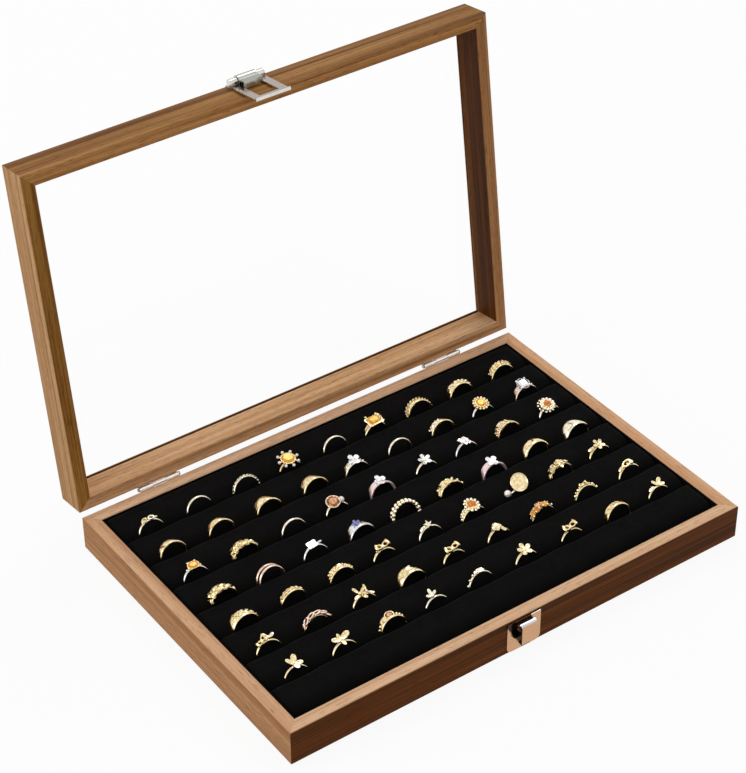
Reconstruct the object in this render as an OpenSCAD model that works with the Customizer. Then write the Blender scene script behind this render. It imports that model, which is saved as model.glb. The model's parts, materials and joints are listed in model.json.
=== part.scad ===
// Ring display box: a shallow mitred walnut tray of velvet ring rolls under a
// glazed lid on two stop hinges, held shut by a loop and a turn-down tongue.
// Millimetres. +Z up, +X to the right, the front with the clasp faces -Y.
// Origin: centre of the underside. The lid is drawn shut, then swung open.

/* [Case] */
// Outside width of the box
case_w = 350; // [340:1:380]
// Outside depth of the box, front to back
case_d = 240; // [232:1:260]
// Height of the lower frame
base_h = 25.5; // [25.5:0.5:34]
// Thickness of the lower frame's boards
base_wall = 9.2; // [8:0.1:11]
// Height of the lid's frame
lid_h = 24.2; // [24:0.1:32]
// Thickness of the lid's boards
lid_wall = 9; // [7:0.1:10]
// Gap between the two frames when the lid is shut
rim_gap = 0.4; // [0.3:0.1:0.8]
// Radius that eases the long edges of every board
edge_r = 0.8; // [0.3:0.1:1.2]
// Angle at which the open lid rests on its hinge stops
open_angle = 98; // [92:1:104]

/* [Bottom and lining] */
// Thickness of the bottom panel
panel_t = 3; // [2:0.5:4]
// Width of the rebate that takes the bottom panel
rebate_w = 5; // [3:0.5:6]
// Clearance round the bottom panel in its rebate
panel_fit = 0.15; // [0.1:0.05:0.3]
// Thickness of the velvet-covered lining of the walls
lining_t = 0.9; // [0.6:0.1:1.2]
// How far the lining stops below the rim
lining_drop = 0.6; // [0.3:0.1:1.5]
// Thickness of the board under the rolls
board_t = 1.5; // [1:0.1:2]

/* [Glass] */
// Thickness of the glass
glass_t = 2; // [1.5:0.1:2.2]
// Depth from the lid's rim to the glass
glass_depth = 20.4; // [18:0.1:20.8]
// Depth of the groove that holds the glass
groove_d = 3.5; // [2:0.1:4.5]
// Clearance on each side of the glass in its groove
glass_fit = 0.1; // [0.05:0.05:0.15]
// Clearance between the edge of the glass and the groove's floor
glass_edge_fit = 0.5; // [0.2:0.1:1]

/* [Rolls] */
// Number of foam rolls; the slots lie between them
roll_count = 8; // [8:1:8]
// Clearance between neighbouring rolls and round the set
roll_gap = 0.3; // [0.3:0.05:0.6]
// How far the rolls' crests stand above the rim
roll_rise = 0.2; // [0:0.1:2]
// Depth of the soft slope along the front of a roll
slope_w = 12; // [9:0.5:15]
// Height of that slope
slope_h = 10; // [8:0.5:12]
// Depth of the rounded edge along the rear of a roll
edge_w = 3; // [2:0.5:5]
// Height of that edge
edge_h = 2.5; // [2:0.5:5]

/* [Rings] */
// Rings in each slot
rings_per_row = 9; // [5:1:9]
// Distance from the lining to the centre of the first and last ring
ring_margin = 22; // [16:1:30]
// Inside radius of the rings
ring_bore_r = 8.7; // [8:0.1:9.2]
// Angle at which the rings lean back on the roll behind
ring_lean = 20; // [10:1:26]
// How deep the foot of a ring sits below the rolls' crests
ring_depth = 12; // [11:0.5:13]

/* [Hinges] */
// Distance from each end of the box to the middle of the hinge there
hinge_inset = 59; // [45:1:80]
// Length of a hinge
hinge_len = 30; // [24:1:40]
// Height of one hinge leaf from the axis
leaf_h = 17; // [14:0.5:20]
// Thickness of a hinge leaf
leaf_t = 1; // [0.8:0.1:1.1]
// Outside radius of the hinge knuckles
knuckle_r = 1.5; // [1.4:0.1:1.5]
// Distance from the rear face of the frames to the hinge axis
hinge_out = 1.8; // [1.8:0.1:2.2]
// Radius of the hinge pin
hinge_pin_r = 0.7; // [0.6:0.05:0.8]

/* [Clasp] */
// Sideways place of the clasp from the middle of the front
clasp_x = -2.5; // [-20:0.5:20]
// Width of both clasp plates
clasp_w = 26; // [24:0.5:30]
// Height of the catch plate on the lower frame
catch_h = 23.2; // [21:0.1:24]
// Thickness of the clasp's sheet metal
sheet_t = 0.9; // [0.8:0.05:0.9]
// Width of the turn-down tongue
tongue_w = 11.2; // [9:0.1:11.8]
// How far the tongue stands out from the front of the box
tongue_out = 6.2; // [6.2:0.1:7.2]
// Length of the loop's crossbar along the loop
crossbar_l = 5.1; // [3:0.1:5.6]
// Radius of the clasp's pins
clasp_pin_r = 0.8; // [0.7:0.05:0.9]

/* [Hidden] */
$fn = 48;
tiny = 0.01;

walnut_light = "#B98F6A";
walnut_dark = "#7A5334";
velvet_black = "#15161A";
nickel = "#C9CBCC";
steel = "#8E9092";
ring_gold = "#E2C27A";

// Frames
front_y = -case_d / 2;
rear_y = case_d / 2;
lid_z = base_h + rim_gap;
edge_steps = 4;

// Room inside the lower frame
inner_w = case_w - 2 * base_wall;
inner_d = case_d - 2 * base_wall;
room_w = inner_w - 2 * lining_t;
room_d = inner_d - 2 * lining_t;
board_top = panel_t + board_t;
lining_fit = 0.05;

// Rolls and slots
roll_pitch = (room_d - 2 * roll_gap) / roll_count;
roll_w = roll_pitch - roll_gap;
roll_z0 = board_top + roll_gap;
roll_crest = base_h + roll_rise;
roll_steps = 12;
function slot_y(i) = room_d / 2 - roll_gap - i * roll_pitch;
function roll_y(i) = slot_y(i) + roll_pitch / 2;

// Rings
ring_pitch = (room_w - 2 * ring_margin) / (rings_per_row - 1);
ring_foot_z = roll_crest - ring_depth;
ring_thin = 1.2;
wide_band_w = 5;
band_w = 3.2;
thin_band_w = 1.8;
head_sink = 0.9;
bow_l = 10;
bow_w = 8;
flower_w = 8.4;
square_w = 5.6;
crown_w = 12.8;
crown_t = 3.4;

// The kinds of ring in each slot, from the left, the rearmost slot first
row_kinds = [
    ["bow", "hoop", "beads", "flower", "hoop", "signet", "wide", "wide", "wide"],
    ["band", "band", "band", "wide", "square", "hoop", "band", "halo", "square"],
    ["stone", "wide", "hoop", "disc", "signet", "flower", "bow", "band", "halo"],
    ["wide", "band", "square", "stone", "beads", "wide", "signet", "wide", "wide"],
    ["crown", "band", "crown", "bow", "bow", "halo", "disc", "crown", "flower"],
    ["bow", "beads", "flower", "crown", "bow", "flower", "halo", "hoop", "bow"],
    ["flower", "bow", "stone", "flower", "beads", "flower", "bow", "band", "bow"]
];

// Glass
groove_z = glass_depth - glass_fit;
groove_h = glass_t + 2 * glass_fit;
glass_grip = groove_d - glass_edge_fit;

// Hinges: the axis lies on the joint line of the shut box
hinge_x = case_w / 2 - hinge_inset;
axis_y = rear_y + hinge_out;
axis_z = base_h + rim_gap / 2;
pin_fit = 0.05;
knuckle_gap = 0.2;
knuckle_len = (hinge_len - 2 * knuckle_gap) / 3;
leaf_relief = 0.4;
web_in = (2 * (hinge_pin_r + pin_fit) + knuckle_r) / 3;
web_root = 0.5;
stop_gap = 0.3;
stop_reach = 4.6;
hinge_screw_x = 9;
hinge_screw_z = 11;
hinge_screw_head_r = 2.1;
hinge_screw_head_t = 0.6;
hinge_screw_r = 1.1;
hinge_screw_len = 8;
pin_head_t = 0.8;

// Clasp, worked out from the tongue's pin, with the lid shut
loop_gap = 0.3;
tongue_knuckle_r = 2.5;
pin_out = tongue_out - tongue_knuckle_r;
tongue_pin_z = base_h - 5;
tongue_len = 12.3;
tongue_lip = 3.4;
ear_r = 1.9;
ear_t = 0.8;
ear_gap = 0.3;
ear_reach = tongue_w / 2 + ear_gap + ear_t;
catch_pin_len = 2 * ear_reach + 0.6;
window_w = catch_pin_len + 2 * loop_gap;
loop_out = sheet_t + loop_gap;
hasp_axis_out = 3.8;
hasp_axis_rise = 18.8;
hasp_barrel_r = 3.5;
hasp_bar_r = 1.1;
hasp_tab_low = 9.5;
hasp_tab_out = hasp_axis_out + 1.9;
loop_knuckle_r = hasp_axis_out - loop_out;
loop_lip = 2.2;
hasp_plate_low = 13;
hasp_plate_high = lid_h - 0.6;
window_low = tongue_pin_z - tongue_knuckle_r - loop_gap;
crossbar_low = window_low - crossbar_l;
catch_top = base_h - 1.2;
catch_corner_r = 4;
catch_slot_h = 4.8;
screw_side = 10.2;
catch_screw_rise = 8.9;
catch_screw_z = catch_top - catch_h + catch_screw_rise;
hasp_screw_z = hasp_axis_rise + 2.7;

// Clasp screws: those of the hasp end short of the groove for the glass
screw_head_r = 1.7;
screw_head_t = 0.6;
screw_r = 1;
screw_fit = 0.05;
catch_screw_len = 7;
screw_tip_clear = 0.8;
hasp_screw_len = sheet_t + lid_wall - groove_d - screw_tip_clear;

// Brads, with their places as shares of a frame's height, length and depth
brad_r = 0.6;
brad_len = 18;
brad_sink = 0.3;
base_brad_rise = [0.35, 0.7];
lid_brad_rise = [0.25, 0.55];
panel_brad_grip = 6;
panel_brad_x = 0.38;
panel_brad_y = 0.2;

// ---- helpers -------------------------------------------------------------

// Swings children of the shut lid to the open position
module on_open_lid() {
    translate([0, axis_y, axis_z])
        rotate([-open_angle, 0, 0])
            translate([0, -axis_y, -axis_z])
                children();
}

// Points of a rounded corner: centre, radius and first angle
function corner(cx, cy, r, from) =
    [for (i = [0:edge_steps]) [cx + r * cos(from + i * 90 / edge_steps), cy + r * sin(from + i * 90 / edge_steps)]];

// Cylinder along X, centred
module x_rod(r, len) {
    rotate([0, 90, 0])
        cylinder(r = r, h = len, center = true);
}

// Board along X with its outer face on y = 0 and 45 degree ends; the child
// is its cross-section, as distance from the outer face against height
module mitred_board(len, wall, top) {
    intersection() {
        rotate([90, 0, 90])
            translate([0, 0, -len / 2])
                linear_extrude(height = len)
                    children();
        translate([0, 0, -1])
            linear_extrude(height = top + 2)
                polygon([[-len / 2, 0], [len / 2, 0], [len / 2 - wall, wall], [-len / 2 + wall, wall]]);
    }
}

// Puts a board of one side of the box in place: front, rear, left or right
module on_side(side) {
    if (side == "front") translate([0, front_y, 0]) children();
    if (side == "rear") rotate([0, 0, 180]) translate([0, front_y, 0]) children();
    if (side == "left") translate([-case_w / 2, 0, 0]) rotate([0, 0, -90]) children();
    if (side == "right") translate([case_w / 2, 0, 0]) rotate([0, 0, 90]) children();
}

function side_len(side) = (side == "front" || side == "rear") ? case_w : case_d;

// Wood screw along Y with its head's outer face at y = 0, driven towards +Y
module wood_screw(head_r, head_t, shank_r, len) {
    rotate([-90, 0, 0]) {
        cylinder(r = head_r, h = head_t);
        cylinder(r = shank_r, h = len);
    }
}

// ---- lower frame ---------------------------------------------------------

module base_section() {
    polygon(concat(
        corner(edge_r, edge_r, edge_r, 180),
        [[base_wall - rebate_w, 0], [base_wall - rebate_w, panel_t], [base_wall, panel_t]],
        corner(base_wall - edge_r, base_h - edge_r, edge_r, 0),
        corner(edge_r, base_h - edge_r, edge_r, 90)
    ));
}

module base_rail(side) {
    color(walnut_light)
        on_side(side)
            mitred_board(side_len(side), base_wall, base_h)
                base_section();
}

module base_panel() {
    color(velvet_black)
        translate([0, 0, panel_t / 2])
            cube([inner_w + 2 * (rebate_w - panel_fit), inner_d + 2 * (rebate_w - panel_fit), panel_t], center = true);
}

// Brads driven level through the side boards into the ends of the others
module corner_brads(wall, heights) {
    for (sx = [-1, 1], sy = [-1, 1], z = heights)
        translate([sx * (case_w / 2 - brad_sink - brad_len / 2), sy * (case_d / 2 - wall / 2), z])
            x_rod(brad_r, brad_len);
}

module base_corner_brads() {
    color(steel)
        corner_brads(base_wall, base_h * base_brad_rise);
}

module panel_brads() {
    x_out = inner_w / 2 + rebate_w / 2;
    y_out = inner_d / 2 + rebate_w / 2;
    color(steel) {
        for (sy = [-1, 1], k = [-1:1])
            translate([k * case_w * panel_brad_x, sy * y_out, brad_sink])
                cylinder(r = brad_r, h = panel_t + panel_brad_grip);
        for (sx = [-1, 1], k = [-1, 1])
            translate([sx * x_out, k * case_d * panel_brad_y, brad_sink])
                cylinder(r = brad_r, h = panel_t + panel_brad_grip);
    }
}

module wall_lining() {
    high = base_h - lining_drop - panel_t;
    color(velvet_black)
        translate([0, 0, panel_t])
            linear_extrude(height = high)
                difference() {
                    square([inner_w - 2 * lining_fit, inner_d - 2 * lining_fit], center = true);
                    square([room_w, room_d], center = true);
                }
}

module insert_board() {
    color(velvet_black)
        translate([0, 0, panel_t + board_t / 2])
            cube([room_w - 2 * lining_fit, room_d - 2 * lining_fit, board_t], center = true);
}

// ---- rolls and rings -----------------------------------------------------

// Cross-section of a roll: flat on top, with a long soft slope down to the
// slot in front of it and a short round edge at the slot behind it
function rear_edge(a) = [roll_w / 2 - edge_w * (1 - cos(a)), roll_crest - edge_h * (1 - sin(a))];
function front_slope(a) = [-roll_w / 2 + slope_w * (1 - sin(a)), roll_crest - slope_h * (1 - cos(a))];

module ring_roll(i) {
    len = room_w - 2 * roll_gap;
    turn = 90 / roll_steps;
    color(velvet_black)
        translate([-len / 2, roll_y(i), 0])
            rotate([90, 0, 90])
                linear_extrude(height = len)
                    polygon(concat(
                        [[-roll_w / 2, roll_z0], [roll_w / 2, roll_z0]],
                        [for (k = [0:roll_steps]) rear_edge(k * turn)],
                        [for (k = [0:roll_steps]) front_slope(k * turn)]
                    ));
}

// Band and wall of each kind of ring: [width, thickness]
function band_of(kind) =
    kind == "wide" || kind == "square" ? [wide_band_w, 1.4]
    : kind == "band" || kind == "signet" ? [band_w, 1.3]
    : [thin_band_w, ring_thin];

module ring_band(width, thick) {
    out_r = ring_bore_r + thick;
    rotate([90, 0, 0])
        rotate_extrude()
            polygon([
                [ring_bore_r, -width / 2],
                [out_r - thick / 3, -width / 2],
                [out_r, -width / 4],
                [out_r, width / 4],
                [out_r - thick / 3, width / 2],
                [ring_bore_r, width / 2]
            ]);
}

// Band whose outside is a row of beads
module beaded_band(width) {
    lobes = 24;
    steps = 96;
    mid_r = ring_bore_r + 1;
    rotate([90, 0, 0])
        linear_extrude(height = width, center = true)
            difference() {
                polygon([
                    for (k = [0:steps - 1])
                        let (a = 360 * k / steps, r = mid_r + 0.3 * cos(lobes * a))
                            [r * cos(a), r * sin(a)]
                ]);
                circle(r = ring_bore_r);
            }
}

// Round head turned about the middle of the ring's top
module round_head(foot_r, r, high) {
    rotate_extrude()
        polygon([[0, -head_sink], [foot_r, -head_sink], [r, high * 0.6], [r * 0.65, high], [0, high]]);
}

// Flat head cut to a lobed outline: "lobes" petals, "length" by "width"
module lobed_head(lobes, length, width, high) {
    steps = 12 * lobes;
    translate([0, 0, -head_sink])
        linear_extrude(height = high + head_sink)
            polygon([
                for (k = [0:steps - 1])
                    let (a = 360 * k / steps, r = 0.72 + 0.28 * cos(lobes * a))
                        [length / 2 * r * cos(a), width / 2 * r * sin(a)]
            ]);
}

// What a ring carries, drawn on top of its band at z = 0
module ring_head(kind) {
    if (kind == "stone") round_head(1.5, 2.7, 3);
    if (kind == "halo") round_head(2.4, 4.3, 2.4);
    if (kind == "signet") round_head(3.2, 3.8, 1.2);
    if (kind == "square") translate([0, 0, 0.7]) cube([square_w, square_w, 2.4], center = true);
    if (kind == "bow") lobed_head(2, bow_l, bow_w, 1.4);
    if (kind == "flower") lobed_head(5, flower_w, flower_w, 1.6);
    if (kind == "crown")
        rotate([90, 0, 0])
            linear_extrude(height = crown_t, center = true)
                polygon([
                    [-crown_w / 2, -1.9],
                    [crown_w / 2, -1.9],
                    [crown_w / 5, 1.2],
                    [0, 2.4],
                    [-crown_w / 5, 1.2]
                ]);
    if (kind == "disc") translate([1.6, 0, 0]) rotate([20, 0, 0]) round_head(2.2, 4.2, 1.2);
}

module ring(kind) {
    band = band_of(kind);
    if (kind == "beads")
        beaded_band(band[0]);
    else
        ring_band(band[0], band[1]);
    translate([0, 0, ring_bore_r + band[1]])
        ring_head(kind);
}

module rings_row(i) {
    out_r = ring_bore_r + ring_thin;
    color(ring_gold)
        for (k = [0:rings_per_row - 1])
            translate([(k - (rings_per_row - 1) / 2) * ring_pitch, slot_y(i), ring_foot_z])
                rotate([-ring_lean, 0, 0])
                    translate([0, 0, out_r])
                        ring(row_kinds[i - 1][k]);
}

// ---- lid -----------------------------------------------------------------

module lid_section() {
    polygon(concat(
        corner(edge_r, edge_r, edge_r, 180),
        corner(lid_wall - edge_r, edge_r, edge_r, 270),
        [
            [lid_wall, groove_z],
            [lid_wall - groove_d, groove_z],
            [lid_wall - groove_d, groove_z + groove_h],
            [lid_wall, groove_z + groove_h]
        ],
        corner(lid_wall - edge_r, lid_h - edge_r, edge_r, 0),
        corner(edge_r, lid_h - edge_r, edge_r, 90)
    ));
}

module lid_rail(side) {
    color(walnut_dark)
        on_open_lid()
            translate([0, 0, lid_z])
                on_side(side)
                    mitred_board(side_len(side), lid_wall, lid_h)
                        lid_section();
}

module lid_corner_brads() {
    color(steel)
        on_open_lid()
            translate([0, 0, lid_z])
                corner_brads(lid_wall, lid_h * lid_brad_rise);
}

module lid_glass() {
    open_w = case_w - 2 * lid_wall;
    open_d = case_d - 2 * lid_wall;
    color("#DDE8EA", 0.35)
        on_open_lid()
            translate([0, 0, lid_z + glass_depth + glass_t / 2])
                cube([open_w + 2 * glass_grip, open_d + 2 * glass_grip, glass_t], center = true);
}

// ---- hinges --------------------------------------------------------------

// One leaf below the axis: a plate with a row of screw holes and the knuckles
// whose middles are listed; the plate lies on the plane y = -hinge_out
module hinge_leaf(knuckles) {
    relief = knuckle_r + leaf_relief;
    difference() {
        union() {
            translate([-hinge_len / 2, -hinge_out, -leaf_h])
                cube([hinge_len, leaf_t, leaf_h - relief]);
            for (x = knuckles) {
                translate([x - knuckle_len / 2, -hinge_out, -relief - web_root])
                    cube([knuckle_len, hinge_out - web_in, relief + web_root]);
                translate([x, 0, 0])
                    x_rod(knuckle_r, knuckle_len);
            }
        }
        x_rod(hinge_pin_r + pin_fit, hinge_len + 2);
        for (s = [-1, 1])
            translate([s * hinge_screw_x, -hinge_out, -hinge_screw_z])
                rotate([-90, 0, 0])
                    cylinder(r = hinge_screw_r + 0.2, h = 4 * leaf_t, center = true);
    }
}

// The tails that stop the lid: one behind each outer knuckle
module stop_tail() {
    lean = open_angle - 90;
    top = leaf_t - hinge_out;
    polygon([
        [0, 0.5],
        [0, -1.4],
        [stop_reach, -1.4],
        [stop_reach, (-top - stop_gap - stop_reach * sin(lean)) / cos(lean)],
        [knuckle_r, (-top - stop_gap - knuckle_r * sin(lean)) / cos(lean)]
    ]);
}

module hinge_base_leaf(side) {
    outer = knuckle_len + knuckle_gap;
    color(nickel)
        translate([side * hinge_x, axis_y, axis_z]) {
            hinge_leaf([-outer, outer]);
            for (s = [-1, 1])
                translate([s * outer - knuckle_len / 2, 0, 0])
                    difference() {
                        rotate([90, 0, 90])
                            linear_extrude(height = knuckle_len)
                                stop_tail();
                        x_rod(hinge_pin_r + pin_fit, 4 * hinge_len);
                    }
        }
}

module hinge_lid_leaf(side) {
    color(nickel)
        on_open_lid()
            translate([side * hinge_x, axis_y, axis_z])
                mirror([0, 0, 1])
                    hinge_leaf([0]);
}

module hinge_pin(side) {
    color(steel)
        translate([side * hinge_x, axis_y, axis_z]) {
            x_rod(hinge_pin_r, hinge_len + 2 * knuckle_gap);
            for (s = [-1, 1])
                translate([s * (hinge_len / 2 + knuckle_gap + pin_head_t / 2), 0, 0])
                    x_rod(hinge_pin_r + 0.5, pin_head_t);
        }
}

// Screws of one leaf of both hinges, driven from the rear
module leaf_screws(flip) {
    for (side = [-1, 1], s = [-1, 1])
        translate([
            side * hinge_x + s * hinge_screw_x,
            rear_y + leaf_t + hinge_screw_head_t,
            axis_z + flip * hinge_screw_z
        ])
            rotate([0, 0, 180])
                wood_screw(hinge_screw_head_r, hinge_screw_head_t, hinge_screw_r, hinge_screw_len);
}

module hinge_base_screws() {
    color(nickel)
        leaf_screws(-1);
}

module hinge_lid_screws() {
    color(nickel)
        on_open_lid()
            leaf_screws(1);
}

// ---- clasp: catch on the lower frame -------------------------------------

// Moves children drawn against the front face, with z from the underside
module on_front() {
    translate([clasp_x, front_y, 0])
        children();
}

// Hole for a flush screw in a plate that lies on the plane y = 0
module flush_hole(x, z) {
    translate([x, -sheet_t - tiny, z])
        wood_screw(screw_head_r + screw_fit, screw_head_t + tiny, screw_r + 0.2, 3);
}

module plate_screws(z, len) {
    for (s = [-1, 1])
        translate([s * screw_side, -sheet_t, z])
            wood_screw(screw_head_r, screw_head_t - screw_fit, screw_r, len);
}

module catch_plate() {
    r = catch_corner_r;
    low = catch_top - catch_h;
    color(nickel)
        on_front()
            difference() {
                union() {
                    rotate([90, 0, 0])
                        linear_extrude(height = sheet_t)
                            polygon(concat(
                                corner(-clasp_w / 2 + r, low + r, r, 180),
                                corner(clasp_w / 2 - r, low + r, r, 270),
                                [[clasp_w / 2, catch_top], [-clasp_w / 2, catch_top]]
                            ));
                    for (s = [-1, 1])
                        translate([s * (ear_reach - ear_t / 2) - ear_t / 2, 0, tongue_pin_z]) {
                            translate([0, -pin_out, -ear_r])
                                cube([ear_t, pin_out, 2 * ear_r]);
                            translate([ear_t / 2, -pin_out, 0])
                                x_rod(ear_r, ear_t);
                        }
                }
                translate([0, -pin_out, tongue_pin_z])
                    x_rod(clasp_pin_r + pin_fit, clasp_w);
                translate([-tongue_w / 2, -2 * sheet_t, tongue_pin_z - catch_slot_h / 2])
                    cube([tongue_w, 4 * sheet_t, catch_slot_h]);
                for (s = [-1, 1])
                    flush_hole(s * screw_side, catch_screw_z);
            }
}

module catch_pin() {
    color(steel)
        on_front()
            translate([0, -pin_out, tongue_pin_z])
                x_rod(clasp_pin_r, catch_pin_len);
}

// Side view of the tongue, as distance in from its pin against height
module tongue_side() {
    r = tongue_knuckle_r;
    difference() {
        union() {
            circle(r = r);
            translate([-r, -tongue_len])
                square([sheet_t, tongue_len]);
            translate([-r, -tongue_len])
                square([tongue_lip, sheet_t]);
        }
        circle(r = clasp_pin_r + pin_fit);
    }
}

module catch_tongue() {
    color(nickel)
        on_front()
            translate([-tongue_w / 2, -pin_out, tongue_pin_z])
                rotate([90, 0, 90])
                    linear_extrude(height = tongue_w)
                        tongue_side();
}

module catch_screws() {
    color(steel)
        on_front()
            plate_screws(catch_screw_z, catch_screw_len);
}

// ---- clasp: hasp on the lid ----------------------------------------------

module on_lid_front() {
    on_open_lid()
        translate([clasp_x, front_y, lid_z])
            children();
}

module hasp_plate() {
    strap_w = window_w - 2 * loop_gap;
    color(nickel)
        on_lid_front()
            difference() {
                union() {
                    translate([-clasp_w / 2, -sheet_t, hasp_plate_low])
                        cube([clasp_w, sheet_t, hasp_plate_high - hasp_plate_low]);
                    translate([0, -hasp_axis_out, hasp_axis_rise])
                        x_rod(hasp_barrel_r, strap_w);
                    translate([-strap_w / 2, -hasp_tab_out, hasp_tab_low])
                        cube([strap_w, sheet_t, hasp_axis_rise - hasp_tab_low]);
                    translate([-strap_w / 2, -hasp_tab_out, hasp_tab_low])
                        cube([strap_w, hasp_tab_out - loop_out, sheet_t]);
                }
                translate([0, -hasp_axis_out, hasp_axis_rise])
                    x_rod(hasp_bar_r + pin_fit, clasp_w);
                for (s = [-1, 1])
                    flush_hole(s * screw_side, hasp_screw_z);
            }
}

// The loop hangs from its rear bar and lies along the front of the lid; its
// window passes over the tongue, which then hangs in front of the crossbar
module hasp_loop() {
    leg_w = (clasp_w - window_w) / 2;
    low = crossbar_low - lid_z;
    color(nickel)
        on_lid_front() {
            difference() {
                translate([-clasp_w / 2, -loop_out - sheet_t, low])
                    cube([clasp_w, sheet_t, hasp_axis_rise - low]);
                translate([-window_w / 2, -loop_out - 2 * sheet_t, low + crossbar_l])
                    cube([window_w, 3 * sheet_t, hasp_axis_rise - low]);
            }
            translate([-clasp_w / 2, -loop_out - loop_lip, low])
                cube([clasp_w, loop_lip, sheet_t]);
            for (s = [-1, 1])
                translate([s * (window_w + leg_w) / 2, -hasp_axis_out, hasp_axis_rise])
                    x_rod(loop_knuckle_r, leg_w);
            translate([0, -hasp_axis_out, hasp_axis_rise])
                x_rod(hasp_bar_r, clasp_w - 1);
        }
}

module hasp_screws() {
    color(steel)
        on_lid_front()
            plate_screws(hasp_screw_z, hasp_screw_len);
}

base_rail("front");  // base_front_rail
base_rail("rear");  // base_rear_rail
base_rail("left");  // base_left_rail
base_rail("right");  // base_right_rail
base_corner_brads();
base_panel();
panel_brads();
wall_lining();
insert_board();
for (i = [1:roll_count])
    ring_roll(i);
for (i = [1:roll_count - 1])
    rings_row(i);
lid_rail("front");  // lid_front_rail
lid_rail("rear");  // lid_rear_rail
lid_rail("left");  // lid_left_rail
lid_rail("right");  // lid_right_rail
lid_corner_brads();
lid_glass();
hinge_base_leaf(-1);  // left_hinge_base_leaf
hinge_lid_leaf(-1);  // left_hinge_lid_leaf
hinge_pin(-1);  // left_hinge_pin
hinge_base_leaf(1);  // right_hinge_base_leaf
hinge_lid_leaf(1);  // right_hinge_lid_leaf
hinge_pin(1);  // right_hinge_pin
hinge_base_screws();
hinge_lid_screws();
catch_plate();
catch_pin();
catch_tongue();
catch_screws();
hasp_plate();
hasp_loop();
hasp_screws();
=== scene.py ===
import bmesh
import bpy
import json
import math
from mathutils import Matrix, Vector, noise


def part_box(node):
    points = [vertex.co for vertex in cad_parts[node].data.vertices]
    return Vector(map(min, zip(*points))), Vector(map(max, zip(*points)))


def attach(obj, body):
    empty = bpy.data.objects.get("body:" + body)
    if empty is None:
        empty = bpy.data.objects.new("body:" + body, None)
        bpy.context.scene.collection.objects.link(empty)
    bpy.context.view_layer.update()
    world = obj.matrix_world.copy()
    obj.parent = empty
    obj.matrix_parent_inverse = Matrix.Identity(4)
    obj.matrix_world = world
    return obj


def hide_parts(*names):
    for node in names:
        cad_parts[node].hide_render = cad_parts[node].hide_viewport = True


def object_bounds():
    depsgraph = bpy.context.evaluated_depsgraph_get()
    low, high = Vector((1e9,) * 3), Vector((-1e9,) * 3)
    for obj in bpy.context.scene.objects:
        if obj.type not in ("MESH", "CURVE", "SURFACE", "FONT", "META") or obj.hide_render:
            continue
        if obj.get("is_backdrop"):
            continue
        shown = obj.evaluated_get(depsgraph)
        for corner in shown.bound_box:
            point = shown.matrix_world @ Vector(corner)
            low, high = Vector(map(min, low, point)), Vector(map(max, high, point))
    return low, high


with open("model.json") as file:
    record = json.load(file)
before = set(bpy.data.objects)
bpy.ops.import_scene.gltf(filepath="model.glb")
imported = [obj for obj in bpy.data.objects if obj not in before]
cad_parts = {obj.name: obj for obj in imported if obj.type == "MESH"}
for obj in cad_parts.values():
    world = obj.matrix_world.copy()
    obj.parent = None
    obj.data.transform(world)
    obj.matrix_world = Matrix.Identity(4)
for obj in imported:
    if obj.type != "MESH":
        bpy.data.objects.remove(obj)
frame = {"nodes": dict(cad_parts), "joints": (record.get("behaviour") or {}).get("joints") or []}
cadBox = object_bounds()
nodes = frame["nodes"]
bpy.ops.object.select_all(action="DESELECT")
print("box frame loaded:", len(nodes), "nodes")

mm = 0.001
lidHinge = next(joint for joint in frame["joints"] if joint["name"] == "lid_hinge")
lidTilt = math.radians(lidHinge["range_deg"][1])   # the open lid, measured from shut
toRight, toRear = Vector((1, 0, 0)), Vector((0, 1, 0))
lidRun = Vector((0, -math.cos(lidTilt), math.sin(lidTilt)))   # up the open lid
lidOut = Vector((0, math.sin(lidTilt), math.cos(lidTilt)))    # out of its top face, which is to the rear


def faceDepth(node, direction):
    # how far a piece of the frame reaches in a direction, in mm
    return max(point.co.dot(direction) for point in nodes[node].data.vertices) / mm


def boxOf(node):
    # its lowest and highest corners, in mm
    return [Vector(corner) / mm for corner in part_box(node)]


def colour(code):
    # sRGB hex to linear
    parts = [int(code[i:i + 2], 16) / 255 for i in (1, 3, 5)]
    return [p / 12.92 if p <= 0.04045 else ((p + 0.055) / 1.055) ** 2.4 for p in parts] + [1.0]


def addNode(tree, kind, inputs=None, **settings):
    made = tree.nodes.new("ShaderNode" + kind)
    for key, value in settings.items():
        setattr(made, key, value)
    for key, value in (inputs or {}).items():
        if isinstance(value, bpy.types.NodeSocket):
            tree.links.new(value, made.inputs[key])
        else:
            made.inputs[key].default_value = value
    return made


def blankMaterial(name):
    made = bpy.data.materials.new(name)
    made.use_nodes = True
    made.node_tree.nodes.clear()
    return made, made.node_tree


def setStops(ramp, places, codes):
    band = ramp.color_ramp
    while len(band.elements) < len(places):
        band.elements.new(0.5)
    for element, place, code in zip(band.elements, places, codes):
        element.position = place
        element.color = colour(code)


def dress(node, made):
    piece = nodes[node]
    piece.data.materials.clear()
    piece.data.materials.append(made)


# the camera: the point it looks at and its distance in metres, its angles in degrees, its lens in mm
shot = {"target": (0.03216, 0.08667, 0.06), "azimuth": -35.394, "elevation": 36.924,
        "roll": -0.356, "distance": 1.56689, "lens": 109.23}


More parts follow.
